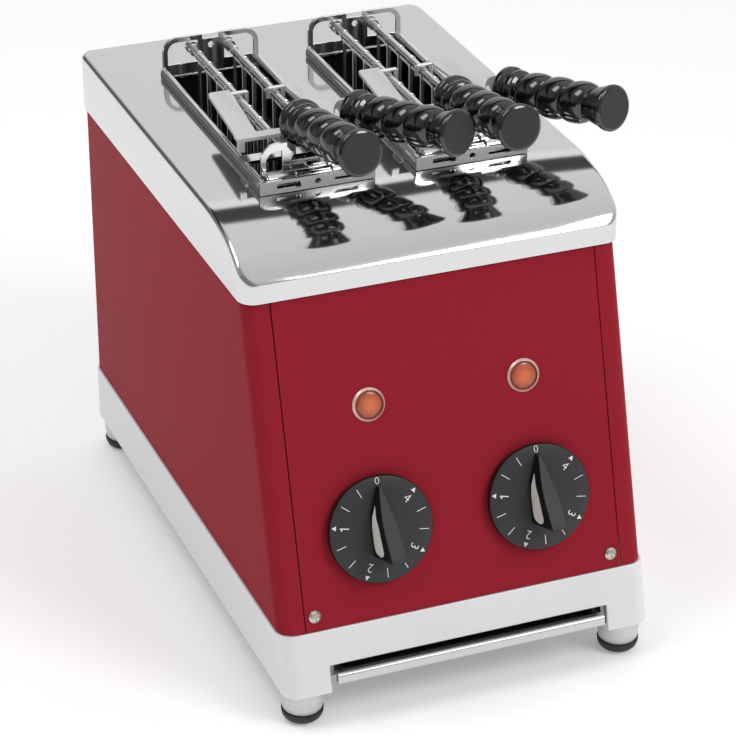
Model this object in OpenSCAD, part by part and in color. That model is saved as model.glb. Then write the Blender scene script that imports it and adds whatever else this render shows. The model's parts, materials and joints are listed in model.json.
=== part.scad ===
// Two-slot counter-top toaster with lift-out sandwich tongs.
// +Z is up, the table is at z = 0, the operator stands on the -Y side.

/* [Body] */
// Width of the red body between its outer side faces
body_w = 220; // [210:1:250]
// Depth of the base frame along its lower edge
base_d = 358; // [345:1:400]
// Visible height of the red body between base frame and top cover
body_h = 180; // [165:1:210]
// Height of the base frame
base_h = 35; // [31:1:45]
// Wall of the cast base frame
base_wall = 2.5; // [2:0.1:4]
// How far the base frame stands proud of the red body
base_over = 1; // [0.5:0.1:3]
// Angle by which the front panel leans back
panel_lean = 15.7; // [12:0.1:18]
// Radius of the vertical corners of body and base
corner_r = 14; // [11:0.5:17]
// Flat part of the body's front return past its corner
return_flat = 1; // [0.6:0.1:6]
// Thickness of the body's sheet metal
sheet = 1.2; // [0.8:0.1:1.6]
// Gap between neighbouring sheet-metal pieces
sheet_gap = 0.2; // [0.1:0.05:0.4]
// Width of the seam beside the front panel
seam_gap = 0.6; // [0.3:0.1:1.2]

/* [Top cover] */
// Height of the top cover from its lower edge to the deck
cover_h = 34; // [31:0.5:44]
// Overhang of the cover in front of the front panel
cover_over = 2; // [1.5:0.1:4]
// Radius of the gentle first part of the front curve
curve_r1 = 150; // [120:1:180]
// Slope at which the gentle part ends
curve_a1 = 12; // [8:0.5:14]
// Radius of the tighter second part of the front curve
curve_r2 = 58; // [48:1:60]
// Slope at the crease where the curve meets the front skirt
curve_a2 = 50; // [44:1:52]
// Radius of the cover's rear corners
cover_rear_r = 10; // [6:0.5:14]
// Radius along the side and rear edges of the deck
cover_edge_r = 4; // [2:0.5:5]

/* [Feet and base] */
// Height of the base frame above the table
foot_h = 21; // [18:0.5:30]
// Diameter of a foot
foot_d = 25; // [20:0.5:26]
// Height of the metal collar above the rubber pad
foot_collar_h = 14; // [10:0.5:15]
// Diameter of the foot's stud
foot_stud_d = 6; // [4:0.5:8]
// Height of the tray opening in the front of the base
notch_h = 15; // [14.5:0.5:17]
// Width of the tray opening
notch_w = 168; // [150:1:172]

/* [Crumb tray] */
// Clearance of the tray at each side of its opening
tray_clear = 3; // [2:0.1:4]
// Height of the rolled front lip
lip_h = 6; // [5:0.5:7]
// Diameter of the roll that forms the lip's top edge
lip_roll_d = 4; // [3:0.5:4.5]
// Room left behind the tray pan
tray_rear = 65; // [55:1:100]
// Sheet thickness of the tray
tray_t = 1; // [0.8:0.1:1.5]
// Height of the tray's side walls
tray_wall_h = 6; // [5.5:0.5:7]
// Width of the flange that rides on a runner
tray_flange_w = 4; // [3:0.5:5]

/* [Knobs and lamps] */
// Distance of the timer shafts from the sides of the panel
knob_in = 47.5; // [42:0.5:50]
// Height of the shafts up the slope of the panel
knob_s = 51.5; // [46:0.5:60]
// Diameter of a knob's skirt
knob_d = 61; // [50:0.5:66]
// Thickness of a knob's skirt at its rim
knob_rim = 4; // [3:0.5:6]
// Height of the grip above the skirt
grip_h = 25; // [18:0.5:30]
// Gap between skirt and panel
knob_lift = 2; // [1.5:0.1:4]
// Diameter of a timer shaft
shaft_d = 6; // [4:0.5:7]
// Radial clearance of a shaft in its bushing
shaft_clear = 0.05; // [0.02:0.01:0.09]
// Width and height of a timer's case
timer_w = 46; // [36:1:56]
// Depth of a timer's case behind the panel
timer_depth = 32; // [24:1:40]
// Distance of the lamps from the sides of the panel
lamp_in = 49; // [40:0.5:55]
// Height of the lamps up the slope of the panel
lamp_s = 121; // [100:1:140]
// Diameter of a lamp's bezel
lamp_d = 19; // [16:0.5:24]
// Diameter of the lens inside the bezel
lens_d = 15; // [11:0.5:15]

/* [Toasting chambers] */
// Distance between the middles of the two slots
slot_pitch = 92; // [90:1:94]
// Clear width of a slot in the deck
slot_w = 53; // [50:0.5:54]
// Length of the deck behind the slots
rear_deck = 61.4; // [55:0.2:70]
// Depth of a chamber below the deck
chamber_h = 200; // [180:1:205]
// Inner width of a chamber
chamber_w = 71; // [70:0.5:76]
// Diameter of a quartz heating tube
tube_d = 9; // [7:0.5:10]
// Height of the lowest tube above the chamber's lower edge
tube_low = 75; // [50:1:80]
// Spacing of the tubes
tube_step = 45; // [30:1:50]

/* [Tongs] */
// Distance between the middles of a tong's two rails
rail_pitch = 59; // [58:0.5:62]
// Width of a rail
rail_w = 5; // [4:0.5:6]
// Height of a rail
rail_h = 5.5; // [5:0.5:7]
// Height of the bent front stop
stop_h = 7.5; // [7:0.5:9]
// Thickness of the stamped plates
plate_t = 1.8; // [1.2:0.1:2.5]
// Height of an arched window's crown above the deck
arch_h = 24; // [22.5:0.5:28]
// Width of the metal left above an arched window
arch_rim = 3; // [2:0.5:4]
// Distance between the two closed grids, rod to rod
grid_gap = 22; // [20:0.5:24]
// Diameter of a grid's top rod
rod_d = 4.5; // [4:0.1:5]
// Height of the rods above the deck
rod_h = 15.5; // [15:0.1:16.5]
// Diameter of the grid wires
wire_d = 2.2; // [1.6:0.1:2.6]
// Number of upright wires in a grid
wire_count = 8; // [6:1:12]
// Height of a grid below its rod
grid_h = 148; // [120:1:160]
// How far a grid moves out when the tong opens
grid_travel = 8.95; // [8.6:0.05:9.3]

/* [Levers and handles] */
// Thickness of a lever plate
lever_t = 2; // [1.5:0.1:2.5]
// Vertical gap between the rods and the lever plates
lever_gap = 0.75; // [0.5:0.05:1.2]
// Diameter of a lever's pivot pin
pivot_d = 5; // [4:0.1:5.5]
// Radial clearance of a pivot pin
pivot_clear = 0.05; // [0.02:0.01:0.09]
// Diameter of the tube around a pivot pin
pivot_boss_d = 8; // [7.5:0.1:8.4]
// Length of a handle from collar to end face
handle_l = 82; // [70:1:90]
// Diameter of a handle's collar and end disc
handle_d = 26; // [22:0.5:27]
// Diameter of the finger beads
bead_d = 24; // [20:0.5:25]
// Number of finger beads
bead_count = 3; // [2:1:4]
// Lean of the finger beads
bead_lean = 14; // [0:1:18]
// Upward slope of the handles
handle_rise = 9; // [8:0.5:11]
// Turn of the left handle away from straight ahead
left_handle_turn = 3.5; // [2.5:0.5:4.5]
// Turn of the right handle away from straight ahead
right_handle_turn = 22; // [20:0.5:23]

/* [Hidden] */
$fn = 64;
hull_fn = 32;
corner_steps = 6;
skin = 0.01;

// Levels of the body
base_z0 = foot_h;
base_z1 = base_z0 + base_h;
cover_z0 = base_z1 + body_h;
deck_z = cover_z0 + cover_h;
wrap_tuck = 4;
wrap_z1 = cover_z0 + wrap_tuck;

// Fronts and rears
lean_slope = tan(panel_lean);
base_front_y = -base_d / 2;
base_rear_y = base_d / 2;
body_rear_y = base_rear_y - base_over;
panel_foot_y = base_front_y + base_h * lean_slope + base_over;
function front_y(z) = panel_foot_y + (z - base_z1) * lean_slope;
cover_front_y = front_y(cover_z0) - cover_over;
cover_rear_y = body_rear_y + sheet_gap + sheet;
cover_w = body_w + 2 * (sheet_gap + sheet);
panel_w = body_w - 2 * (corner_r + return_flat);
panel_l = (wrap_z1 - base_z1) / cos(panel_lean);

// Front curve of the cover: two arcs tangent to the deck and to each other
curve_run = curve_r1 * sin(curve_a1) + curve_r2 * (sin(curve_a2) - sin(curve_a1));
flat_y = cover_front_y + curve_run;
arc1 = [flat_y, deck_z - curve_r1];
arc2 = arc1 + (curve_r1 - curve_r2) * [-sin(curve_a1), cos(curve_a1)];

// Ledges and corners of the base
ledge_w = 14;
ledge_t = 3;
gusset = 26;
gusset_t = 3;
foot_x = body_w / 2 + base_over - corner_r;
foot_front_y = base_front_y + corner_r;
foot_rear_y = base_rear_y - corner_r;
stud_clear = 0.2;

// Slots and chambers
slot_r = 4;
slot_y0 = flat_y + 2;
slot_y1 = cover_rear_y - rear_deck;
chamber_t = 1;
chamber_y0 = flat_y;
chamber_y1 = slot_y1 + 6;
chamber_z1 = deck_z - sheet;
chamber_z0 = chamber_z1 - chamber_h;
tube_x = chamber_w / 2 - tube_d / 2 - 1;
tube_out = 10;
tube_clear = 0.3;
cap_d = tube_d + 4;
cap_l = 8;

// Tray
lip_w = notch_w - 2 * tray_clear;
tray_w = lip_w - 2 * tray_flange_w;
tray_z0 = base_z0 + 5.5;
flange_z1 = tray_z0 + tray_wall_h;
tray_front_y = base_front_y + 3;
tray_l = base_rear_y - tray_rear - tray_front_y;
lip_z0 = base_z0 + 5.5;
runner_t = 2;
runner_gap = 0.3;
runner_w = 10;

// Panel fittings
knob_pitch = panel_w - 2 * knob_in;
lamp_pitch = panel_w - 2 * lamp_in;
bushing_d = shaft_d + 4;
screw_x = panel_w / 2 - 5.5;
screw_s = 8.5;
screw_d = 3.5;
screw_head_d = 7.2;
screw_clear = 0.3;
flange_w = 12;
flange_back = sheet + sheet_gap;
flange_end = 1.5;
web_w = 2;
grip_foot = 6.3;
grip_top = 4.6;
grip_draft = atan((grip_foot - grip_top) / grip_h);
lamp_body_d = lens_d - 1.5;
lamp_body_l = 26;

// Tongs: y values count from the front edge of the slot, heights from the deck
tong_seat = 0.3;
rail_y0 = slot_y0 - 2;
rail_y1 = slot_y1 + 3;
front_plate_y = slot_y0 + 5.5;
rear_plate_y = rail_y1 - plate_t;
cross_rod_d = 4.5;
sleeve_d = cross_rod_d + 3.5;
sleeves = [[-26.5, 15.5], [-10.5, 8.5], [11, 15.5]];
cross_rod_y = front_plate_y - sleeve_d / 2 - 0.05;
cross_rod_h = tong_seat + sleeve_d / 2 + 0.3;
stop_y = slot_y0 - 7;
stop_ear_l = 14;
window_h0 = tong_seat + rail_h + 1.5;
rear_window = [grid_gap / 2 - rod_d / 2 - 0.45, rail_pitch / 2 - 2.5];
front_window = [grid_gap / 2 + 5.2, rail_pitch / 2 - 4];
front_rim = 4.5;
front_drop = 3.5;
front_tab_h = 13;
tab_hole_d = 3.6;

// Bridge and levers
bridge_h0 = tong_seat + rail_h;
bridge_t = 2;
bridge_half = rail_pitch / 2 + rail_w / 2;
bridge_w = 9;
pivot_y = front_plate_y + 22.5;
left_pivot_x = -4;
pivot_room = 0.85;
right_pivot_x = grid_gap / 2 + grid_travel + rod_d / 2 + pivot_boss_d / 2 + pivot_room;
lever_h0 = rod_h + rod_d / 2 + lever_gap;
lever_h1 = lever_h0 + lever_t;
boss_h0 = bridge_h0 + bridge_t + 0.3;
arm_y0 = pivot_y - 2;
arm_y1 = pivot_y + 5.5;
arm_past_root = 6;
strip_in = grid_gap / 2 + 11;
strip_w = 12.5;
tip_in = grid_gap / 2 + 4.5;
tip_w = 13.5;
tip_r = 3;
ring_y = pivot_y + 63;
strip_y1 = ring_y + 4;
ring_d = 2.4;
ring_clear = 1;
lug_w = 4;
lug_h = 6;

// Handles
root_y = pivot_y - 5;
root_h = lever_h1 + 7;
collar_clear = 0.7;
collar_drop = root_h - rod_h;
collar_reach = handle_d / 2 + rod_d / 2 + collar_clear;
left_root_x = grid_gap / 2 - sqrt(max(collar_reach * collar_reach - collar_drop * collar_drop, 0));
right_root_x = right_pivot_x + 6.6;
ferrule_d = 13;
ferrule_l = 11;
socket_l = 12;
collar_l = 8;
end_l = 9;
groove = 3;
core_d = bead_d - 2 * groove;
ring_h = 4;

// Rectangle with equal round corners
module round_slot(half_w, y0, y1, r) {
    translate([-half_w + r, y0]) square([2 * (half_w - r), y1 - y0]);
    translate([-half_w, y0 + r]) square([2 * half_w, y1 - y0 - 2 * r]);
    for (side = [-1, 1], y = [y0 + r, y1 - r]) translate([side * (half_w - r), y]) circle(r);
}

// Block with rounded vertical corners whose front face leans back
module leaning_block(half_w, low_y, high_y, rear_y, r, z0, z1) {
    hull() {
        for (side = [-1, 1]) {
            translate([side * (half_w - r), low_y + r, z0]) cylinder(r = r, h = skin, $fn = hull_fn);
            translate([side * (half_w - r), high_y + r, z1 - skin]) cylinder(r = r, h = skin, $fn = hull_fn);
            translate([side * (half_w - r), rear_y - r, z0]) cylinder(r = r, h = z1 - z0, $fn = hull_fn);
        }
    }
}

// Base frame's block, inset from its outer faces
module base_block(inset, z0, z1) {
    leaning_block(body_w / 2 + base_over - inset,
                  base_front_y + inset + (z0 - base_z0) * lean_slope,
                  base_front_y + inset + (z1 - base_z0) * lean_slope,
                  base_rear_y - inset, max(corner_r - inset, 1), z0, z1);
}

// Places children in the plane of the front panel: x across, y up the slope, z out of the face
module on_panel() {
    translate([0, panel_foot_y, base_z1]) rotate([90 - panel_lean, 0, 0]) children();
}

module base_frame() {
    color("silver") difference() {
        union() {
            difference() {
                base_block(0, base_z0, base_z1);
                base_block(base_wall, base_z0 - 1, base_z1 - ledge_t);
                base_block(ledge_w, base_z0, base_z1 + 1);
            }
            intersection() {
                base_block(base_wall / 2, base_z0, base_z0 + gusset_t);
                for (sx = [-1, 1], y = [foot_front_y, foot_rear_y])
                    translate([sx * foot_x - gusset / 2, y - gusset / 2, base_z0])
                        cube([gusset, gusset, gusset_t]);
            }
        }
        translate([-notch_w / 2, base_front_y - 1, base_z0 - 1])
            cube([notch_w, ledge_w, notch_h + 1]);
        for (sx = [-1, 1], y = [foot_front_y, foot_rear_y])
            translate([sx * foot_x, y, base_z0 - 1])
                cylinder(d = foot_stud_d + 2 * stud_clear, h = gusset_t + 2);
    }
}

module at_feet() {
    for (sx = [-1, 1], y = [foot_front_y, foot_rear_y])
        translate([sx * foot_x, y, 0]) children();
}

module foot_collars() {
    color("lightgray") at_feet() {
        translate([0, 0, base_z0 - foot_collar_h]) rotate_extrude()
            polygon([[0, 0], [foot_d / 2 - 1.8, 0], [foot_d / 2 - 1.2, 1], [foot_d / 2, foot_collar_h - 2],
                     [foot_d / 2 - 0.5, foot_collar_h], [0, foot_collar_h]]);
        translate([0, 0, base_z0 - 1]) cylinder(d = foot_stud_d, h = gusset_t + 7);
    }
}

module foot_pads() {
    pad_h = base_z0 - foot_collar_h;
    pad_r = foot_d / 2 - 0.6;
    round_r = min(4, pad_h / 2);
    color("black") at_feet() rotate_extrude()
        polygon(concat([[0, 0]],
                       [for (a = [0:15:90]) [pad_r - round_r + round_r * sin(a), round_r - round_r * cos(a)]],
                       [[pad_r, pad_h], [0, pad_h]]));
}

module wrap_block(inset, z0, z1) {
    leaning_block(body_w / 2 - inset, front_y(z0) + inset / cos(panel_lean),
                  front_y(z1) + inset / cos(panel_lean), body_rear_y - inset,
                  corner_r - inset, z0, z1);
}

gland_x = 62;
gland_z = base_z1 + 24;
gland_d = 16;

module body_wrap() {
    color("firebrick") difference() {
        union() {
            difference() {
                wrap_block(0, base_z1, wrap_z1);
                wrap_block(sheet, base_z1 - 1, wrap_z1 + 1);
                translate([-panel_w / 2 - seam_gap, base_front_y - 50, base_z1 - 1])
                    cube([panel_w + 2 * seam_gap, base_d / 2 + 50, wrap_z1 - base_z1 + 2]);
            }
            on_panel() for (side = [-1, 1]) mirror([side < 0 ? 1 : 0, 0, 0]) {
                translate([panel_w / 2 - flange_w, flange_end, -flange_back - sheet])
                    cube([flange_w + seam_gap + web_w, panel_l - 2 * flange_end, sheet]);
                translate([panel_w / 2 + seam_gap, flange_end, -flange_back - sheet])
                    cube([web_w, panel_l - 2 * flange_end, flange_back + sheet / 2]);
            }
        }
        on_panel() for (side = [-1, 1])
            translate([side * screw_x, screw_s, -flange_back - sheet - 1])
                cylinder(d = screw_d + skin, h = sheet + 2, $fn = 24);
        translate([gland_x, body_rear_y + 1, gland_z]) rotate([90, 0, 0])
            cylinder(d = gland_d + 0.4, h = sheet + 2);
    }
}

module front_panel() {
    color("firebrick") difference() {
        on_panel() translate([-panel_w / 2, -5, -sheet]) cube([panel_w, panel_l + 5, sheet]);
        translate([-body_w, base_front_y - 50, base_z1 - 20]) cube([2 * body_w, base_d, 20]);
        on_panel() {
            for (side = [-1, 1]) {
                translate([side * knob_pitch / 2, knob_s, -sheet - 1])
                    cylinder(d = bushing_d + 0.3, h = sheet + 2);
                translate([side * lamp_pitch / 2, lamp_s, -sheet - 1])
                    cylinder(d = lens_d + 0.4, h = sheet + 2);
                translate([side * screw_x, screw_s, -sheet - 1])
                    cylinder(d = screw_d + 2 * screw_clear, h = sheet + 2);
            }
        }
    }
}

module panel_screws() {
    color("gainsboro") on_panel() for (side = [-1, 1])
        translate([side * screw_x, screw_s, 0]) difference() {
        union() {
            rotate_extrude() polygon([[0, 0], [screw_head_d / 2, 0], [screw_head_d / 2, 0.8],
                                      [screw_head_d / 2 - 1.2, 1.9], [0, 2.2]]);
            translate([0, 0, -9]) cylinder(d = screw_d, h = 10);
        }
        for (turn = [0, 90]) rotate(turn) translate([-2.2, -0.45, 1.2]) cube([4.4, 0.9, 2]);
    }
}

// Points of an arc about c
function arc_points(c, r, a0, a1, steps) =
    [for (i = [0:steps]) let (a = a0 + (a1 - a0) * i / steps) c + r * [cos(a), sin(a)]];

// Plan outline with rounded corners, front radius r0 and rear radius r1
function plan_points(half_w, y0, y1, r0, r1) = concat(
    arc_points([half_w - r0, y0 + r0], r0, -90, 0, corner_steps),
    arc_points([half_w - r1, y1 - r1], r1, 0, 90, corner_steps),
    arc_points([-half_w + r1, y1 - r1], r1, 90, 180, corner_steps),
    arc_points([-half_w + r0, y0 + r0], r0, 180, 270, corner_steps));

// A deck edge is rounded in three flats: a point on the flat at angle a, run past that flat's middle
function flat_point(c, r, a, run) = c + [r * cos(a) + run * sin(a), r * sin(a) - run * cos(a)];

// Half of the cover's cross-section, roof-shaped, inset by t
function roof_points(t) = let (c = [cover_w / 2, deck_z] - [1, 1] * cover_edge_r, r = cover_edge_r - t) [
    flat_point(c, r, 15, 2 * cover_h),
    c + r / cos(15) * [cos(30), sin(30)],
    c + r / cos(15) * [cos(60), sin(60)],
    flat_point(c, r, 75, -cover_h)];

// Side outline of the rear edge, deck and front curve, inset by t and running on past both skirts
function cover_side(t) =
    let (c = [cover_rear_y, deck_z] - [1, 1] * cover_edge_r, r = cover_edge_r - t) concat(
    [flat_point(c, r, 15, 2 * cover_h),
     c + r / cos(15) * [cos(30), sin(30)],
     c + r / cos(15) * [cos(60), sin(60)],
     c + r / cos(7.5) * [cos(82.5), sin(82.5)]],
    arc_points(arc1, curve_r1 - t, 90, 90 + curve_a1, 3),
    arc_points(arc2, curve_r2 - t, 96 + curve_a1, 98 + curve_a2, 7),
    [[cover_front_y - cover_h, cover_z0 - cover_h]]);

// Solid under the cover's outer faces, inset by t
module cover_block(t) {
    below = t > 0 ? 1 : 0;
    intersection() {
        translate([0, 0, cover_z0 - below]) linear_extrude(2 * cover_h)
            polygon(plan_points(cover_w / 2 - t, cover_front_y + t, cover_rear_y - t,
                                corner_r - t, cover_rear_r - t));
        rotate([90, 0, 90]) linear_extrude(2 * cover_w, center = true) polygon(cover_side(t));
        rotate([90, 0, 0]) linear_extrude(2 * base_d, center = true)
            polygon(concat(roof_points(t),
                           [for (i = [3:-1:0]) [-roof_points(t)[i][0], roof_points(t)[i][1]]]));
    }
}

module top_cover() {
    color("gainsboro") difference() {
        cover_block(0);
        cover_block(sheet);
        for (side = [-1, 1]) translate([side * slot_pitch / 2, 0, deck_z - 10]) linear_extrude(20)
            round_slot(slot_w / 2, slot_y0, slot_y1, slot_r);
    }
}

// Sheet-metal shaft around one slot, open above and below
module chamber(side) {
    outer_w = chamber_w + 2 * chamber_t;
    color("dimgray") translate([side * slot_pitch / 2, 0, 0]) difference() {
        translate([-outer_w / 2, chamber_y0, chamber_z0])
            cube([outer_w, chamber_y1 - chamber_y0, chamber_h]);
        translate([-chamber_w / 2, chamber_y0 + chamber_t, chamber_z0 - 1])
            cube([chamber_w, chamber_y1 - chamber_y0 - 2 * chamber_t, chamber_h + 2]);
        at_tubes() translate([0, chamber_y0 - 1, 0]) rotate([-90, 0, 0])
            cylinder(d = tube_d + 2 * tube_clear, h = chamber_y1 - chamber_y0 + 2);
    }
}

// Places children on the axis of each tube of a chamber whose middle is at x = 0
module at_tubes() {
    for (sx = [-1, 1], i = [0:2])
        translate([sx * tube_x, 0, chamber_z0 + tube_low + i * tube_step]) children();
}

module heater_tubes(side) {
    color("whitesmoke") translate([side * slot_pitch / 2, 0, 0]) at_tubes()
        translate([0, chamber_y0 - tube_out, 0]) rotate([-90, 0, 0]) difference() {
            cylinder(d = tube_d, h = chamber_y1 - chamber_y0 + 2 * tube_out);
            translate([0, 0, -1])
                cylinder(d = tube_d - 2, h = chamber_y1 - chamber_y0 + 2 * tube_out + 2);
        }
}

module heater_end_caps() {
    color("ivory") for (side = [-1, 1]) translate([side * slot_pitch / 2, 0, 0]) at_tubes()
        for (end = [[chamber_y0, 90], [chamber_y1, -90]])
            translate([0, end[0], 0]) rotate([end[1], 0, 0]) difference() {
                cylinder(d = cap_d, h = tube_out + cap_l);
                translate([0, 0, -1]) cylinder(d = tube_d + 2 * tube_clear, h = tube_out + 1);
                translate([0, 0, tube_out - 1]) cylinder(d = 3, h = cap_l + 2);
            }
}

// Clockwork timer behind the panel with its threaded bushing
module timer(side) {
    color("darkgray") on_panel() translate([side * knob_pitch / 2, knob_s, 0]) difference() {
        union() {
            translate([-timer_w / 2, -timer_w / 2, -sheet - timer_depth])
                cube([timer_w, timer_w, timer_depth]);
            translate([0, 0, -sheet - 1]) cylinder(d = bushing_d, h = sheet + 1 + knob_lift - 0.6);
            for (sx = [-1, 1])
                translate([sx * timer_w / 4 - 3, -0.4, -sheet - timer_depth - 8]) cube([6, 0.8, 9]);
        }
        translate([0, 0, -sheet - timer_depth / 2])
            cylinder(r = shaft_d / 2 + shaft_clear, h = timer_depth + sheet + knob_lift);
    }
}

module lamp_bezels() {
    color("silver") on_panel() for (side = [-1, 1])
        translate([side * lamp_pitch / 2, lamp_s, 0]) rotate_extrude() polygon([
                [lens_d / 2 + 0.1, 0], [lamp_d / 2, 0], [lamp_d / 2, 0.8],
                [lamp_d / 2 - 0.9, 1.9], [lens_d / 2 + 0.6, 1.9], [lens_d / 2 + 0.1, 1.4]]);
}

module lamp_lenses() {
    rise = 1.6;
    color("orangered") on_panel() for (side = [-1, 1])
        translate([side * lamp_pitch / 2, lamp_s, 0]) rotate_extrude()
            polygon(concat([[0, -sheet], [lens_d / 2, -sheet], [lens_d / 2, 1]],
                       [for (i = [1:6]) [lens_d / 2 * cos(15 * i), 1 + rise * sin(15 * i)]]));
}

module lamp_bodies() {
    color("ivory") on_panel() for (side = [-1, 1]) translate([side * lamp_pitch / 2, lamp_s, -sheet]) {
        translate([0, 0, -3]) cylinder(d = lamp_d, h = 3, $fn = 6);
        translate([0, 0, -lamp_body_l]) cylinder(d = lamp_body_d, h = lamp_body_l);
        for (sx = [-1, 1]) translate([sx * 3 - 0.4, -2.4, -lamp_body_l - 8]) cube([0.8, 4.8, 9]);
    }
}

module terminal_block() {
    block = [36, 16, 14];
    color("ivory")
        translate([-gland_x / 2 - block[0] / 2, body_rear_y - sheet - block[1], gland_z - block[2] / 2])
        difference() {
            cube(block);
            for (i = [0:2]) translate([6 + 12 * i, block[1] / 2, -1]) cylinder(d = 4, h = block[2] + 2);
        }
}

module cable_gland() {
    color("black") translate([gland_x, body_rear_y, gland_z]) rotate([-90, 0, 0]) difference() {
        union() {
            cylinder(d = gland_d + 6, h = 5, $fn = 6);
            translate([0, 0, 5]) cylinder(d1 = gland_d + 2, d2 = gland_d - 3, h = 9);
            translate([0, 0, -12]) cylinder(d = gland_d, h = 13);
        }
        translate([0, 0, -13]) cylinder(d = 8, h = 30);
    }
}

// Two angles that hold the tray's flanges, welded between the front and rear walls of the base
module tray_runners() {
    flange_z0 = flange_z1 - tray_t;
    outer_x = tray_w / 2 + tray_flange_w + runner_gap;
    color("gray") intersection() {
        base_block(base_wall, base_z0 - 1, base_z1 - ledge_t);
        for (side = [-1, 1]) mirror([side < 0 ? 1 : 0, 0, 0]) difference() {
            translate([tray_w / 2 + runner_gap, base_front_y, flange_z0 - runner_gap - runner_t])
                cube([runner_w, base_d, 2 * runner_t + tray_t + 2 * runner_gap]);
            translate([tray_w / 2, base_front_y - 1, flange_z0 - runner_gap])
                cube([outer_x - tray_w / 2, base_d + 2, tray_t + runner_t + 3 * runner_gap]);
        }
    }
}

module crumb_tray() {
    color("lightgray") translate([0, tray_front_y, 0]) {
        difference() {
            translate([-tray_w / 2, 0, tray_z0]) cube([tray_w, tray_l, tray_wall_h]);
            translate([-tray_w / 2 + tray_t, tray_t, tray_z0 + tray_t])
                cube([tray_w - 2 * tray_t, tray_l - 2 * tray_t, tray_wall_h]);
        }
        for (side = [-1, 1]) mirror([side < 0 ? 1 : 0, 0, 0])
            translate([tray_w / 2, base_wall + 4, flange_z1 - tray_t])
                cube([tray_flange_w, tray_l - base_wall - 4, tray_t]);
    }
}

// Front lip: a sheet folded up with its top edge rolled
module tray_lip() {
    color("silver") translate([-lip_w / 2, tray_front_y, lip_z0]) {
        translate([0, -lip_roll_d / 2, lip_h - lip_roll_d / 2]) rotate([0, 90, 0])
            cylinder(d = lip_roll_d, h = lip_w);
        translate([0, -lip_roll_d, 0]) cube([lip_w, tray_t + 0.5, lip_h - lip_roll_d / 2]);
        translate([0, -lip_roll_d, 0]) cube([lip_w, lip_roll_d, tray_t]);
    }
}

// Timer knob: round skirt with a fin-like grip that points up the slope
module knob(side) {
    tip = knob_d / 2 - 5.2;
    tail = knob_d / 2 - 16.2;
    tip_h = 3.4;
    face = knob_lift + knob_rim;
    color("dimgray") on_panel() translate([side * knob_pitch / 2, knob_s, 0]) difference() {
        union() {
            translate([0, 0, knob_lift]) rotate_extrude()
                polygon([[0, 0], [knob_d / 2 - 0.6, 0], [knob_d / 2, 0.6], [knob_d / 2, knob_rim - 1.4],
                         [knob_d / 2 - 1.2, knob_rim - 0.4], [knob_d / 2 - 10, knob_rim], [0, knob_rim]]);
            hull() {
                translate([0, 0, face - 1]) linear_extrude(1)
                    polygon([[-0.6, tip], [-grip_foot, 9], [-grip_foot, -tail],
                             [grip_foot, -tail], [grip_foot, 9], [0.6, tip]]);
                translate([-0.5, tip - 0.6, face + tip_h]) cube([1, 0.3, skin]);
                translate([-grip_top, -tail + 1, face + grip_h - skin]) cube([2 * grip_top, skin, skin]);
            }
        }
        translate([0, 0, knob_lift - 1]) cylinder(d = shaft_d, h = 15);
        for (flank = [-1, 1]) inlay(flank, 0.05);
    }
}

// Teardrop plate that lies in a pocket in one flank of the grip
module inlay(flank, grow) {
    round_y = -knob_d / 2 + 23.7;
    round_h = 8.6;
    inlay_r = 5;
    inlay_t = 1.4;
    inlay_x0 = grip_foot - 1.25;
    translate([0, 0, knob_lift + knob_rim]) rotate([0, -flank * grip_draft, 0])
        translate([flank > 0 ? inlay_x0 - grow : -inlay_x0 - inlay_t - grow, 0, 0]) rotate([90, 0, 90])
            linear_extrude(inlay_t + 2 * grow) union() {
                translate([round_y, round_h]) circle(inlay_r + grow, $fn = 32);
                polygon([[round_y + 13.3 + grow, round_h - 4.1], [round_y + 3.1, round_h + 3.9 + grow],
                         [round_y + 0.35, round_h - inlay_r - grow]]);
            }
}

// Pale pointers let into both flanks of the grip
module knob_inlays(side) {
    color("whitesmoke") on_panel() translate([side * knob_pitch / 2, knob_s, 0])
        for (flank = [-1, 1]) inlay(flank, 0);
}

module knob_shaft(side) {
    color("silver") on_panel() translate([side * knob_pitch / 2, knob_s, -sheet - timer_depth / 2 + 1])
        cylinder(d = shaft_d, h = sheet + timer_depth / 2 - 1 + knob_lift + 13.5);
}

// Places children in a tong's frame: x from the slot's middle, y as in the part, z from the deck
module in_tong(side) {
    translate([side * slot_pitch / 2, 0, deck_z]) children();
}

module tong_rails(side) {
    color("gainsboro") in_tong(side) for (sx = [-1, 1])
        translate([sx * rail_pitch / 2, rail_y0, tong_seat]) {
            translate([-rail_w / 2, 0, 0]) cube([rail_w, rail_y1 - plate_t - rail_y0, rail_h - rail_w / 2]);
            translate([0, 0, rail_h - rail_w / 2]) rotate([-90, 0, 0])
                cylinder(d = rail_w, h = rail_y1 - plate_t - rail_y0);
        }
}

// One half of an end plate's outline: foot strip, arched loop with its window, half of the middle tab
module arch_half(crown, rim, window, tab_h) {
    inner_r = 6;
    outer_r = inner_r + arch_rim;
    outer_x = window[1] + arch_rim;
    loop_x = window[0] - arch_rim;
    difference() {
        union() {
            translate([0, tong_seat]) square([outer_x, rail_h]);
            translate([loop_x, tong_seat]) square([outer_x - outer_r - loop_x, crown - tong_seat]);
            translate([outer_x - outer_r, crown - outer_r]) circle(outer_r);
            translate([outer_x - outer_r, tong_seat]) square([outer_r, crown - outer_r - tong_seat]);
            translate([0, tong_seat]) square([window[0], tab_h - tong_seat]);
        }
        translate([window[0], window_h0])
            square([window[1] - inner_r - window[0], crown - rim - window_h0]);
        intersection() {
            translate([window[1] - inner_r, crown - rim - inner_r]) circle(inner_r);
            translate([window[0], window_h0]) square([window[1], crown]);
        }
        translate([window[1] - inner_r, window_h0])
            square([inner_r, max(crown - rim - inner_r - window_h0, 0.1)]);
    }
}

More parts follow.
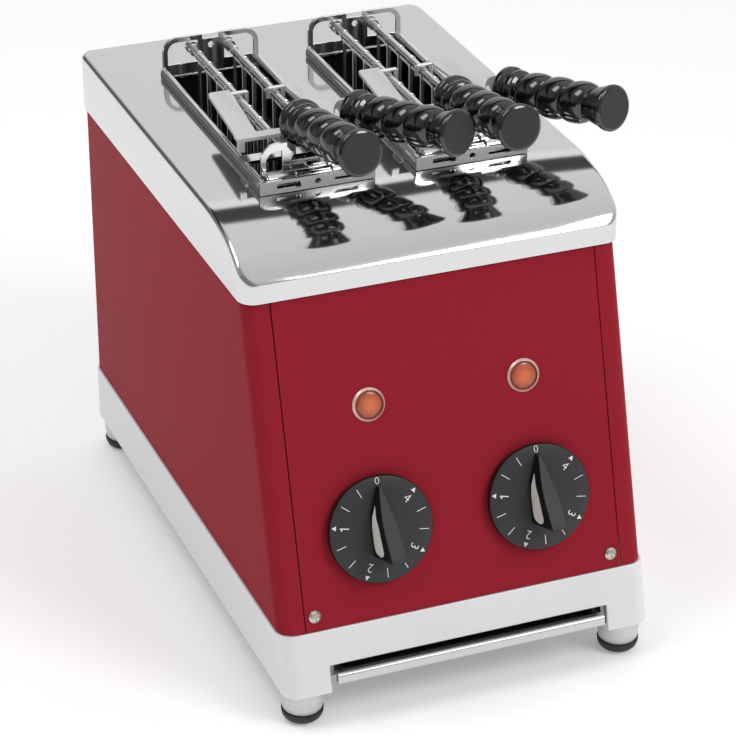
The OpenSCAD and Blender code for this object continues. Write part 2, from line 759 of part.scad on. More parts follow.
// Upright end plate at y with a left and a right arch, each given as crown height and rim
module end_plate(y, window, left_arch, right_arch, tab_h) {
    translate([0, y + plate_t, 0]) rotate([90, 0, 0]) linear_extrude(plate_t) difference() {
        union() {
            arch_half(right_arch[0], right_arch[1], window, tab_h);
            mirror([1, 0]) arch_half(left_arch[0], left_arch[1], window, tab_h);
        }
        translate([0, tab_h - 4]) circle(d = tab_hole_d, $fn = 24);
    }
}

module tong_rear_plate(side) {
    color("gainsboro") in_tong(side)
        end_plate(rear_plate_y, rear_window, [arch_h, arch_rim], [arch_h, arch_rim], arch_h - 3);
}

// The front plate stays low where the right handle passes over it, and stands between the rails
module tong_front_plate(side) {
    slot_for_rail = rail_w + 0.4;
    color("gainsboro") in_tong(side) difference() {
        end_plate(front_plate_y, front_window, [arch_h, front_rim],
                  [arch_h - front_drop, front_rim], front_tab_h);
        for (sx = [-1, 1])
            translate([sx * rail_pitch / 2 - slot_for_rail / 2, front_plate_y - 1, tong_seat - 1])
                cube([slot_for_rail, plate_t + 2, rail_h + 1.2]);
    }
}

// Rod across the front ends of the rails, with the rolled sleeves of the front plate on it
module tong_cross_rod(side) {
    reach = rail_pitch / 2 - rail_w / 2;
    color("lightgray") in_tong(side) translate([0, cross_rod_y, cross_rod_h]) {
        rotate([0, 90, 0]) cylinder(d = cross_rod_d, h = 2 * reach, center = true);
        for (sleeve = sleeves)
            translate([sleeve[0], 0, 0]) rotate([0, 90, 0]) cylinder(d = sleeve_d, h = sleeve[1]);
    }
}

// Bent front stop: an upright strip with windows and two ears along the rails' outer faces
module tong_front_stop(side) {
    half = rail_pitch / 2 + rail_w / 2 + plate_t;
    color("gainsboro") in_tong(side) difference() {
        union() {
            translate([-half, stop_y, tong_seat]) cube([2 * half, plate_t, stop_h]);
            for (sx = [-1, 1]) translate([sx > 0 ? half - plate_t : -half, stop_y, tong_seat])
                cube([plate_t, rail_y0 - stop_y + stop_ear_l, rail_h - 1]);
        }
        for (sx = [-1, 1]) translate([sx * half / 2 - 7, stop_y - 1, tong_seat + 2])
            cube([14, plate_t + 2, stop_h - 4]);
        translate([0, stop_y - 1, tong_seat + stop_h / 2]) rotate([-90, 0, 0])
            cylinder(d = tab_hole_d, h = plate_t + 2, $fn = 24);
    }
}

// Cross plate on the rails with the two pins that the levers turn on
module tong_bridge(side) {
    color("gainsboro") in_tong(side) {
        translate([-bridge_half, pivot_y - bridge_w / 2, bridge_h0])
            cube([2 * bridge_half, bridge_w, bridge_t]);
        for (x = [left_pivot_x, right_pivot_x]) translate([x, pivot_y, bridge_h0])
            cylinder(d = pivot_d, h = lever_h1 - bridge_h0 - 0.1);
    }
}

// Wire staple that straddles a grid's rod and is welded to the lever's tip
module staple(rod_x, strip_x) {
    post = rod_d / 2 + ring_clear + ring_d / 2;
    away = rod_x < 0 ? -1 : 1;
    bar_h = lever_h0 + lever_t / 2;
    reach = abs(strip_x - rod_x) + post;
    translate([rod_x - away * post, ring_y, bar_h]) rotate([0, away * 90, 0])
        cylinder(d = ring_d, h = reach, $fn = 24);
    for (sx = [-1, 1]) translate([rod_x + sx * post, ring_y, rod_h - 2])
        cylinder(d = ring_d, h = bar_h - rod_h + 2, $fn = 24);
}

// Axis of a handle: the middle of its collar's back face, turned and raised
module at_handle(root_x, turn) {
    translate([root_x, root_y, root_h]) rotate([0, 0, turn]) rotate([90 - handle_rise, 0, 0]) children();
}

// Flat lever: strip along the grid, arm with a tube round the pin, ferrule for the handle;
// the left lever's corner is bent down as a lug
module lever(side, hand) {
    pivot_x = hand < 0 ? left_pivot_x : right_pivot_x;
    root_x = hand < 0 ? left_root_x : right_root_x;
    turn = hand < 0 ? left_handle_turn : right_handle_turn;
    inner_x = hand * strip_in;
    outer_x = hand * (strip_in + strip_w);
    tip_x0 = hand * tip_in;
    tip_x1 = hand * (tip_in + tip_w);
    arm_x0 = min(inner_x, outer_x, pivot_x - pivot_boss_d / 2);
    arm_x1 = root_x + arm_past_root;
    color("lightgray") in_tong(side) difference() {
        union() {
            translate([0, 0, lever_h0]) linear_extrude(lever_t) {
                translate([arm_x0, arm_y0]) square([arm_x1 - arm_x0, arm_y1 - arm_y0]);
                polygon([[inner_x, arm_y0], [tip_x0, strip_y1], [tip_x1 - hand * tip_r, strip_y1],
                         [tip_x1, strip_y1 - tip_r], [outer_x, arm_y0]]);
                translate([tip_x1 - hand * tip_r, strip_y1 - tip_r]) circle(tip_r);
            }
            translate([pivot_x, pivot_y, boss_h0]) cylinder(d = pivot_boss_d, h = lever_h1 - boss_h0);
            at_handle(root_x, turn) translate([0, 0, -ferrule_l])
                cylinder(d = ferrule_d, h = ferrule_l + socket_l);
            staple(hand * grid_gap / 2, hand * (tip_in + 4));
            if (hand < 0)
                translate([outer_x, arm_y0, lever_h0 - lug_h]) cube([lug_w, lever_t, lug_h + lever_t]);
        }
        translate([pivot_x, pivot_y, boss_h0 - 1])
            cylinder(r = pivot_d / 2 + pivot_clear, h = lever_h1 - boss_h0 + 2);
        translate([pivot_x, pivot_y, lever_h1]) cylinder(d = pivot_boss_d, h = 20);
    }
}

// Moulded handle: collar, neck ring, leaning finger beads and end disc on one core
module handle(side, hand) {
    root_x = hand < 0 ? left_root_x : right_root_x;
    turn = hand < 0 ? left_handle_turn : right_handle_turn;
    bead_z0 = collar_l + 3 + ring_h + 4;
    bead_step = (handle_l - end_l - 2 - bead_z0) / bead_count;
    color("black") in_tong(side) at_handle(root_x, turn) difference() {
        union() {
            rotate_extrude()
                polygon([[0, 0], [handle_d / 2 - 1.5, 0], [handle_d / 2, 1.5], [handle_d / 2, collar_l - 2.5],
                         [core_d / 2, collar_l], [core_d / 2, handle_l - end_l],
                         [handle_d / 2 - 1, handle_l - end_l + 3], [handle_d / 2, handle_l - end_l + 5],
                         [handle_d / 2, handle_l - 1], [handle_d / 2 - 1, handle_l], [0, handle_l]]);
            translate([0, 0, collar_l + 2]) rotate_extrude()
                polygon([[0, 0], [core_d / 2, 0], [bead_d / 2 - 1, ring_h / 2],
                         [core_d / 2, ring_h], [0, ring_h]]);
            for (i = [0:bead_count - 1])
                translate([0, 0, bead_z0 + (i + 0.5) * bead_step]) rotate([bead_lean, 0, 0])
                    rotate_extrude() bead_profile(bead_step);
        }
        translate([0, 0, -1]) cylinder(d = ferrule_d + 0.1, h = socket_l + 1.1);
    }
}

// Half section of one finger bead, a round crown over the core
module bead_profile(step) {
    half = step / 2 - 0.4;
    polygon(concat([[0, -half]],
                   [for (a = [-90:15:90]) [core_d / 2 - 1 + (groove + 1) * cos(a), half * sin(a)]],
                   [[0, half]]));
}

// Wire grid: top rod with end nuts, uprights with feet turned in under the bread, two rows of cross wire
module grid(side, hand) {
    rod_y0 = front_plate_y + plate_t + 0.5;
    rod_y1 = rear_plate_y + plate_t + 4;
    first_y = pivot_y + bridge_w / 2 + 7;
    last_y = rear_plate_y - 11;
    pitch = (last_y - first_y) / (wire_count - 1);
    foot_l = grid_gap / 2 - 2.5;
    color("gainsboro") in_tong(side) translate([hand * grid_gap / 2, 0, rod_h]) {
        translate([0, rod_y0, 0]) rotate([-90, 0, 0]) cylinder(d = rod_d, h = rod_y1 - rod_y0);
        translate([0, rod_y1 - 3.6, 0]) rotate([-90, 0, 0]) cylinder(d = rod_d + 3, h = 3.2);
        translate([0, rear_plate_y - 3.6, 0]) rotate([-90, 0, 0]) cylinder(d = rod_d + 2.4, h = 3.2);
        for (i = [0:wire_count - 1]) translate([0, first_y + i * pitch, 0]) {
            translate([0, 0, -grid_h]) cylinder(d = wire_d, h = grid_h, $fn = 24);
            translate([0, 0, -grid_h + wire_d / 2]) rotate([0, -hand * 90, 0])
                cylinder(d = wire_d, h = foot_l, $fn = 24);
        }
        for (z = [-grid_h / 2, -grid_h + wire_d / 2]) translate([0, first_y - 3, z]) rotate([-90, 0, 0])
            cylinder(d = wire_d + 0.6, h = last_y - first_y + 6, $fn = 24);
    }
}

module left_chamber() { chamber(-1); }
module right_chamber() { chamber(1); }
module left_heater_tubes() { heater_tubes(-1); }
module right_heater_tubes() { heater_tubes(1); }
module left_timer() { timer(-1); }
module right_timer() { timer(1); }

base_frame();
foot_collars();
foot_pads();
body_wrap();
front_panel();
panel_screws();
top_cover();
left_chamber();
right_chamber();
left_heater_tubes();
right_heater_tubes();
heater_end_caps();
left_timer();
right_timer();
lamp_bezels();
lamp_lenses();
lamp_bodies();
terminal_block();
cable_gland();
tray_runners();
crumb_tray();
tray_lip();
knob(-1);  // left_knob
knob_inlays(-1);  // left_knob_inlays
knob_shaft(-1);  // left_knob_shaft
knob(1);  // right_knob
knob_inlays(1);  // right_knob_inlays
knob_shaft(1);  // right_knob_shaft
tong_rails(-1);  // left_tong_rails
tong_rear_plate(-1);  // left_tong_rear_plate
tong_front_plate(-1);  // left_tong_front_plate
tong_cross_rod(-1);  // left_tong_cross_rod
tong_front_stop(-1);  // left_tong_front_stop
tong_bridge(-1);  // left_tong_bridge
lever(-1, -1);  // left_tong_left_lever
lever(-1, 1);  // left_tong_right_lever
handle(-1, -1);  // left_tong_left_handle
handle(-1, 1);  // left_tong_right_handle
grid(-1, -1);  // left_tong_left_grid
grid(-1, 1);  // left_tong_right_grid
tong_rails(1);  // right_tong_rails
tong_rear_plate(1);  // right_tong_rear_plate
tong_front_plate(1);  // right_tong_front_plate
tong_cross_rod(1);  // right_tong_cross_rod
tong_front_stop(1);  // right_tong_front_stop
tong_bridge(1);  // right_tong_bridge
lever(1, -1);  // right_tong_left_lever
lever(1, 1);  // right_tong_right_lever
handle(1, -1);  // right_tong_left_handle
handle(1, 1);  // right_tong_right_handle
grid(1, -1);  // right_tong_left_grid
grid(1, 1);  // right_tong_right_grid
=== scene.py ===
"""Two-slot counter-top toaster with lift-out sandwich tongs, dressed around its CAD frame."""
import json
from math import asin, cos, pi, radians, sin, tan

import bmesh
import bpy
import numpy as np
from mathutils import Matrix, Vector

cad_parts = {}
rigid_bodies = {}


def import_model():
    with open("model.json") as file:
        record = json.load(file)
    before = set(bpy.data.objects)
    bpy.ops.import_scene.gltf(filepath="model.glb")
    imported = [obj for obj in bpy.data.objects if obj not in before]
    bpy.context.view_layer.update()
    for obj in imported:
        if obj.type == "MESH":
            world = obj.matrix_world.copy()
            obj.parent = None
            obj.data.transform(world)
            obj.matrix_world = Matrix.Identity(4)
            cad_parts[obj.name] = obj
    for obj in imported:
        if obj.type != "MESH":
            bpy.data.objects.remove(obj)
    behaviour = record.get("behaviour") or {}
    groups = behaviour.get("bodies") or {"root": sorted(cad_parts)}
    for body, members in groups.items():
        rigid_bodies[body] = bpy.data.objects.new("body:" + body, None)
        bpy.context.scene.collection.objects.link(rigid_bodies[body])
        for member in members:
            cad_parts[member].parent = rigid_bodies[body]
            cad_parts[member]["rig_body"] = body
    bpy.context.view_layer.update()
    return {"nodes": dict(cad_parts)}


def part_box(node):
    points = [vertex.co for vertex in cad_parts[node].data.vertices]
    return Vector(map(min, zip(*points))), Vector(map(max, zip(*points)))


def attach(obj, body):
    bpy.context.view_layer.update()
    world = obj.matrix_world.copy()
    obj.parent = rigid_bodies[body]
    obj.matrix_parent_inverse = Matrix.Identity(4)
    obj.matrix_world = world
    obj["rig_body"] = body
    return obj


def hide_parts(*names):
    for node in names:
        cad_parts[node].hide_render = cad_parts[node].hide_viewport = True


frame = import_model()

# Base frame: a pressed light-metal skirt with rounded corners and a front that leans back with the panel.
# It stands on the feet, carries the body on an inner ledge, and is cut out at the front for the crumb tray.
base_low, base_high = np.array(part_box("base_frame"))
lean = radians(15.7)
corner_r = 0.0095
base_wall, base_edge = 0.0025, 0.0007
notch_half, notch_h = 0.084, 0.015


def tint(red, green, blue):
    """A colour given in screen values from 0 to 255, as linear light."""
    c = np.array([red, green, blue]) / 255
    return np.where(c <= 0.04045, c / 12.92, ((c + 0.055) / 1.055) ** 2.4)


def surface(name, colour, metallic, roughness, **sockets):
    """A plain finish whose values are the same all over, each set on the shader's own socket."""
    material = bpy.data.materials.new(name)
    material.use_nodes = True
    shader = material.node_tree.nodes["Principled BSDF"]
    shader.inputs["Base Color"].default_value = (*colour, 1)
    shader.inputs["Metallic"].default_value = metallic
    shader.inputs["Roughness"].default_value = roughness
    for socket, value in sockets.items():
        shader.inputs[socket.replace("_", " ")].default_value = value
    return material


def grain(material, size, depth):
    """Fine waviness in a finish: noise on object coordinates, grains of about size metres, read as bumps."""
    tree = material.node_tree
    place = tree.nodes.new("ShaderNodeTexCoord")
    noise = tree.nodes.new("ShaderNodeTexNoise")
    bump = tree.nodes.new("ShaderNodeBump")
    noise.inputs["Scale"].default_value = 1 / size
    noise.inputs["Detail"].default_value = 2
    bump.inputs["Distance"].default_value = depth
    tree.links.new(place.outputs["Object"], noise.inputs["Vector"])
    tree.links.new(noise.outputs["Fac"], bump.inputs["Height"])
    tree.links.new(bump.outputs["Normal"], tree.nodes["Principled BSDF"].inputs["Normal"])
    return material


def quads(rows, columns, joined=False):
    """Faces between neighbours on a grid of points numbered row by row; joined closes each row on itself."""
    i, j = np.mgrid[0:rows - 1, 0:columns - (0 if joined else 1)]
    k = (j + 1) % columns
    corners = [i * columns + j, i * columns + k, (i + 1) * columns + k, (i + 1) * columns + j]
    return np.stack(corners, -1).reshape(-1, 4)


def shell(name, points, faces, material, body, nodes=(), crease=35):
    """Makes one mesh of points and faces, turned to look away from its middle, and rides it on a body.

    Doubled points are merged, faces without area go, and edges sharper than crease degrees stay sharp.
    """
    points = np.asarray(points, float).reshape(-1, 3)
    mesh = bpy.data.meshes.new(name)
    mesh.from_pydata(points, [], [list(face) for face in faces])
    build = bmesh.new()
    build.from_mesh(mesh)
    bmesh.ops.remove_doubles(build, verts=build.verts, dist=2e-6)
    bmesh.ops.dissolve_degenerate(build, edges=build.edges, dist=1e-6)
    middle = points.mean(0)
    facing = sum(face.calc_area() * (np.array(face.calc_center_median()) - middle) @ np.array(face.normal)
                 for face in build.faces)
    if facing < 0:
        bmesh.ops.reverse_faces(build, faces=build.faces)
    build.to_mesh(mesh)
    build.free()
    mesh.materials.append(material)
    mesh.shade_smooth()
    mesh.set_sharp_from_angle(angle=radians(crease))
    piece = bpy.data.objects.new(name, mesh)
    bpy.context.scene.collection.objects.link(piece)
    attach(piece, body)
    if nodes:
        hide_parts(*nodes)
    return piece


def thicken(piece, wall):
    """Gives a sheet its thickness inwards from its outer face."""
    solid = piece.modifiers.new("wall", "SOLIDIFY")
    solid.thickness = wall
    solid.offset = -1
    solid.use_even_offset = True


def soften(piece, width, steps=2):
    """Rounds the sharp edges of a piece."""
    bevel = piece.modifiers.new("edge", "BEVEL")
    bevel.width = width
    bevel.segments = steps
    bevel.limit_method = "ANGLE"
    bevel.angle_limit = radians(40)
    bevel.harden_normals = True


def wall_outline(half_w, return_x, r, steps=12):
    """Plan of an upright wall from one front return round the rear to the other, with quarter-circle corners.

    Gives x, y counted from the edge that the point belongs to, and whether that is the rear edge.
    """
    a = np.linspace(-pi / 2, 0, steps + 1)
    b = a + pi / 2
    x = np.concatenate([[return_x], half_w - r + r * np.cos(a), half_w - r + r * np.cos(b)])
    y = np.concatenate([[0], r + r * np.sin(a), -r + r * np.sin(b)])
    rear = np.arange(len(x)) > steps + 1
    return np.concatenate([x, -x[::-1]]), np.concatenate([y, y[::-1]]), np.concatenate([rear, rear[::-1]])


def leaning_wall(outline, z, front, rear):
    """Carries a plan up through the heights z: front points move back with the lean, rear points stay."""
    x, y, at_rear = outline
    grid = np.empty((len(z), len(x), 3))
    grid[..., 0] = x
    grid[..., 1] = y + np.where(at_rear, rear, front[:, None])
    grid[..., 2] = z[:, None]
    return grid


base_metal = grain(surface("base_metal", tint(230, 230, 232), 0.3, 0.42), 0.0006, 0.00002)
base_z = np.array([base_low[2], base_low[2] + notch_h, base_high[2]])
base_front = base_low[1] + (base_z - base_low[2]) * tan(lean)
base_outline = wall_outline(base_high[0], notch_half, corner_r)
base_grid = leaning_wall(base_outline, base_z, base_front, base_high[1])
base_faces = quads(*base_grid.shape[:2], joined=True)
beside_notch = np.arange(len(base_faces)) != base_grid.shape[1] - 1
base_skirt = shell("base_skirt", base_grid, base_faces[beside_notch], base_metal, "housing",
                   ["base_frame"])
thicken(base_skirt, base_wall)
soften(base_skirt, base_edge)

# Feet: four turned light-metal collars that taper downwards, each on a black rubber pad with a rounded foot.
# A stud in the collar goes up through the base and is held by a nut inside.
collar_low, collar_high = np.array(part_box("foot_collars"))
pad_high = np.array(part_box("foot_pads"))[1]
foot_in = 0.014
foot_x, foot_y = base_high[:2] - foot_in
collar_r, pad_r = collar_high[0] - foot_x, pad_high[0] - foot_x
collar_taper = 0.0012
low_edge_in, low_edge_h = 0.0006, 0.001
high_edge_in, high_edge_h = 0.0005, 0.002
pad_round_r = 0.006


def turned(profile, steps=48):
    """A profile of radius and height turned about the z axis: one row of points for each profile point."""
    r, z = np.asarray(profile, float).T[:, :, None]
    a = np.linspace(0, 2 * pi, steps, endpoint=False)
    return np.stack([r * np.cos(a), r * np.sin(a), np.broadcast_to(z, (len(z), steps))], -1)


def several(grids):
    """Joins grids of equal closed rows into one set of points and faces."""
    rows, columns = grids[0].shape[:2]
    one = quads(rows, columns, joined=True)
    points = np.concatenate([grid.reshape(-1, 3) for grid in grids])
    return points, np.concatenate([one + i * rows * columns for i in range(len(grids))])


feet_at = [np.array([sx * foot_x, sy * foot_y, 0]) for sx in (-1, 1) for sy in (-1, 1)]
foot_metal = surface("foot_metal", tint(205, 206, 208), 0.6, 0.4)
foot_rubber = surface("foot_rubber", tint(24, 24, 25), 0, 0.55)
collar_profile = [(0, collar_low[2]), (collar_r - collar_taper - low_edge_in, collar_low[2]),
                  (collar_r - collar_taper, collar_low[2] + low_edge_h), (collar_r, base_low[2] - high_edge_h),
                  (collar_r - high_edge_in, base_low[2]), (0, base_low[2])]
pad_foot = [(pad_r + pad_round_r * (sin(a) - 1), pad_round_r * (1 - cos(a))) for a in np.linspace(0, pi / 2, 8)]
pad_profile = [(0, 0), *pad_foot, (pad_r, pad_high[2]), (0, pad_high[2])]
points, faces = several([turned(collar_profile) + at for at in feet_at])
shell("foot_collar_set", points, faces, foot_metal, "housing", ["foot_collars"])
points, faces = several([turned(pad_profile) + at for at in feet_at])
shell("foot_pad_set", points, faces, foot_rubber, "housing", ["foot_pads"])

# Body: one red-painted sheet bent round both sides and the rear, with a short return at each front corner.
# It stands on the base's ledge and tucks up under the top cover.
wrap_low, wrap_high = np.array(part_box("body_wrap"))
panel_half = np.array(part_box("front_panel"))[1, 0]
sheet, sheet_edge = 0.0012, 0.0003
seam = 0.0006

red_paint = grain(surface("red_paint", tint(149, 37, 49), 0, 0.38, Specular_IOR_Level=0.015),
                  0.0009, 0.00003)
wrap_z = np.linspace(wrap_low[2], wrap_high[2], 5)
wrap_front = wrap_low[1] + (wrap_z - wrap_low[2]) * tan(lean)
wrap_outline = wall_outline(wrap_high[0], panel_half + seam, corner_r)
wrap_grid = leaning_wall(wrap_outline, wrap_z, wrap_front, wrap_high[1])
body_sheet = shell("body_sheet", wrap_grid, quads(*wrap_grid.shape[:2]), red_paint, "housing",
                   ["body_wrap"])
thicken(body_sheet, sheet)
soften(body_sheet, sheet_edge)

# Front panel: a separate slanted plate in the same red paint, between two dark seams. Two cross-head screws
# hold it low down on the body's returns, and it carries the lamps and the timers.
panel_edge, screw_edge = 0.0004, 0.00015


def dressed(node, material, edge=0, crease=30):
    """A copy of a CAD node with loose triangles merged, flat faces joined and sharp edges rounded."""
    mesh = frame["nodes"][node].data.copy()
    build = bmesh.new()
    build.from_mesh(mesh)
    bmesh.ops.remove_doubles(build, verts=build.verts, dist=2e-6)
    bmesh.ops.dissolve_limit(build, angle_limit=radians(0.3), verts=build.verts, edges=build.edges)
    build.to_mesh(mesh)
    build.free()
    if "custom_normal" in mesh.attributes:
        mesh.attributes.remove(mesh.attributes["custom_normal"])
    mesh.materials.clear()
    mesh.materials.append(material)
    mesh.shade_smooth()
    mesh.set_sharp_from_angle(angle=radians(crease))
    piece = bpy.data.objects.new(node + "_dressed", mesh)
    bpy.context.scene.collection.objects.link(piece)
    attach(piece, frame["nodes"][node]["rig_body"])
    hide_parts(node)
    if edge:
        soften(piece, edge)


dressed("front_panel", red_paint, panel_edge)
screw_steel = surface("screw_steel", tint(205, 200, 190), 1, 0.3)
dressed("panel_screws", screw_steel, screw_edge)

# Top cover: mirror-polished steel drawn into one piece, with a flat deck, a long curve down to the front,
# an upright skirt all round and two slots. It drops over the body like a lid.
cover_low, cover_high = np.array(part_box("top_cover"))
deck_z = cover_high[2]
cover_edge_r, cover_rear_r, crease_r = 0.003, 0.010, 0.0012
cut_edge = 0.00025
curve_r1, curve_a1 = 0.150, radians(12)
curve_r2, curve_a2 = 0.058, radians(50)
flat_y = cover_low[1] + curve_r1 * sin(curve_a1) + curve_r2 * (sin(curve_a2) - sin(curve_a1))
slot_x, slot_half = 0.046, 0.0265
deck_before_slots, deck_behind_slots = 0.002, 0.0614
slot_front, slot_rear = flat_y + deck_before_slots, cover_high[1] - deck_behind_slots


def cover_arc(centre, r, angle):
    """Points at the distance r from a centre in the y-z plane, at angles from straight up to the front."""
    return np.asarray(centre) + r * np.stack([-np.sin(angle), np.cos(angle)], -1)


def cover_line():
    """The cover's middle line from the rear skirt over the deck and down the front, as y and z.

    Rear quarter circle, flat deck, a gentle and a tighter arc tangent to each other, a small arc to upright,
    and the skirt.
    """
    rear, front = cover_high[1], cover_low[1]
    rear_arc = cover_arc([rear - cover_edge_r, deck_z - cover_edge_r], cover_edge_r, np.linspace(-pi / 2, 0, 9))
    corner_y = rear - cover_rear_r * (1 - np.cos(np.linspace(pi / 4, pi / 2, 8)[1:]))
    deck_y = np.concatenate([corner_y, [slot_rear, (slot_rear + slot_front) / 2, slot_front]])
    deck = np.stack([deck_y, np.full_like(deck_y, deck_z)], -1)
    c1 = np.array([flat_y, deck_z - curve_r1])
    c2 = cover_arc(c1, curve_r1 - curve_r2, curve_a1)
    end = asin((c2[0] - front - crease_r) / (curve_r2 - crease_r))
    c3 = cover_arc(c2, curve_r2 - crease_r, end)
    gentle = cover_arc(c1, curve_r1, np.linspace(0, curve_a1, 7))
    tight = cover_arc(c2, curve_r2, curve_a1 + (end - curve_a1) * np.sin(np.linspace(0, pi / 2, 24))[1:])
    crease = cover_arc(c3, crease_r, np.linspace(end, pi / 2, 7)[1:])
    rear_foot, front_foot = [[rear, cover_low[2]]], [[front, cover_low[2]]]
    return np.concatenate([rear_foot, rear_arc, deck, gentle, tight, crease, front_foot])


def cover_half_width(y):
    """Half the cover's width at y: full width, drawn in on a quarter circle at the front and at the rear."""
    front_in = np.clip(corner_r - (y - cover_low[1]), 0, corner_r)
    rear_in = np.clip(cover_rear_r - (cover_high[1] - y), 0, cover_rear_r)
    front_loss = corner_r - np.sqrt(corner_r**2 - front_in**2)
    rear_loss = cover_rear_r - np.sqrt(cover_rear_r**2 - rear_in**2)
    return cover_high[0] - front_loss - rear_loss


def cover_surface():
    """Each station of the middle line carries a cross-section: flat top, rounded edge and upright skirt."""
    y, z = cover_line().T[:, :, None]
    half = cover_half_width(y)
    a = np.linspace(0, pi / 2, 7)
    top_x = np.broadcast_to([0, slot_x - slot_half, slot_x, slot_x + slot_half], (len(y), 4))
    x = np.concatenate([top_x, half - cover_edge_r + cover_edge_r * np.sin(a), half], 1)
    drop = np.concatenate([np.zeros(4), cover_edge_r * (1 - np.cos(a)), [deck_z]])
    height = np.maximum(z - drop, cover_low[2])
    x = np.concatenate([-x[:, :0:-1], x], 1)
    height = np.concatenate([height[:, :0:-1], height], 1)
    return np.stack([x, np.broadcast_to(y, x.shape), height], -1)


mirror_steel = surface("mirror_steel", tint(215, 215, 216), 1, 0.08)
cover_grid = cover_surface()
cover_faces = quads(*cover_grid.shape[:2])
cell_x, cell_y, cell_z = cover_grid.reshape(-1, 3)[cover_faces].mean(1).T
in_slot = ((np.abs(np.abs(cell_x) - slot_x) < slot_half) & (cell_y > slot_front) & (cell_y < slot_rear)
           & (cell_z > deck_z - 1e-5))
cover_shell = shell("cover_shell", cover_grid, cover_faces[~in_slot], mirror_steel, "housing",
                    ["top_cover"])
thicken(cover_shell, sheet)
soften(cover_shell, cut_edge)

# Inside: a near-black sheet shaft hangs under each slot, with quartz tubes in ceramic ends along its
# walls. Timers and lamp bodies sit behind the panel, the terminals at the rear, and folded runners carry the
# tray.
inside = {"chamber_steel": (["left_chamber", "right_chamber"], tint(26, 25, 25), 0.6, 0.6),
          "quartz": (["left_heater_tubes", "right_heater_tubes"], tint(70, 68, 66), 0, 0.25),
          "ceramic": (["heater_end_caps"], tint(225, 220, 205), 0, 0.6),
          "timer_case": (["left_timer", "right_timer"], tint(150, 150, 152), 0.9, 0.4),
          "pale_plastic": (["lamp_bodies", "terminal_block"], tint(222, 216, 200), 0, 0.5),
          "tray_runner_steel": (["tray_runners"], tint(150, 150, 150), 0.9, 0.4)}
for name, (nodes, colour, metallic, roughness) in inside.items():
    finish = surface(name, colour, metallic, roughness)
    for node in nodes:
        frame["nodes"][node].data.materials.clear()
        frame["nodes"][node].data.materials.append(finish)

# Cable gland: a black moulded nut and cone at the rear, the way in for the supply lead.
# It is screwed into the body sheet.
gland_edge = 0.0004
black_plastic = surface("black_plastic", tint(28, 28, 29), 0, 0.4)
dressed("cable_gland", black_plastic, gland_edge)

# Crumb tray: a folded steel pan, a darker grey than its lip, that slides on flanges in the runners.
# It is drawn out to the front by a brighter rolled lip in the base's opening.
lip_edge = 0.0005
tray_steel = surface("tray_steel", tint(205, 205, 206), 0.9, 0.3)
pan_steel = surface("pan_steel", tint(120, 120, 121), 0.9, 0.4)
dressed("crumb_tray", pan_steel, 0)
dressed("tray_lip", tray_steel, lip_edge)

# Lamps: an orange domed lens of clear plastic in a thin pale metal bezel. The lens's colour is painted light,
# brighter in the middle and darker at its edge, and the bezel is painted darker towards the lens as shade.
# Each is snapped into the panel above a timer.
lens_low, lens_high = np.array(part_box("lamp_lenses"))
bezel_low, bezel_high = np.array(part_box("lamp_bezels"))
bezel_edge = 0.0002
lens_h, bezel_h = (lens_high - lens_low)[2], (bezel_high - bezel_low)[2]
lens_x = (lens_high[0] + bezel_high[0]) / 2 - (lens_h + bezel_h) / 4 / cos(lean)
lens_r, bezel_r = lens_high[0] - lens_x, bezel_high[0] - lens_x
lens_middle = np.array([lens_x, *((lens_low + lens_high) / 2)[1:]])


def glow(material, radius, inner, outer, fade_from, fade_to):
    """Paints light and shade on both lamps by distance from each middle: inner to outer between two shares of a
    radius.
    """
    tree = material.node_tree
    place = tree.nodes.new("ShaderNodeTexCoord")
    mirrored = tree.nodes.new("ShaderNodeVectorMath")
    mirrored.operation = "ABSOLUTE"
    apart = tree.nodes.new("ShaderNodeVectorMath")
    apart.operation = "DISTANCE"
    apart.inputs[1].default_value = np.abs(lens_middle)
    share = tree.nodes.new("ShaderNodeMath")
    share.operation = "DIVIDE"
    share.inputs[1].default_value = radius
    fade = tree.nodes.new("ShaderNodeValToRGB")
    for stop, position, colour in zip(fade.color_ramp.elements, (fade_from, fade_to), (inner, outer)):
        stop.position = position
        stop.color = (*colour, 1)
    tree.links.new(place.outputs["Object"], mirrored.inputs[0])
    tree.links.new(mirrored.outputs["Vector"], apart.inputs[0])
    tree.links.new(apart.outputs["Value"], share.inputs[0])
    tree.links.new(share.outputs[0], fade.inputs[0])
    tree.links.new(fade.outputs["Color"], tree.nodes["Principled BSDF"].inputs["Base Color"])
    return material


# Painted glow on the lens: its colour is brighter in the middle and darker towards the edge.
lamp_orange = glow(surface("lamp_orange", tint(196, 84, 50), 0, 0.25, Emission_Color=(*tint(220, 80, 40), 1),
                           Emission_Strength=0.08), lens_r, tint(208, 108, 66), tint(146, 74, 54), 0.4, 0.9)
# Painted shade on the bezel: its colour darkens towards the lens.
bezel_metal = glow(surface("bezel", tint(214, 176, 160), 0.3, 0.3), bezel_r, tint(140, 74, 58),
                   tint(232, 200, 192), 0.86, 0.92)
dressed("lamp_bezels", bezel_metal, bezel_edge)
dressed("lamp_lenses", lamp_orange, 0)
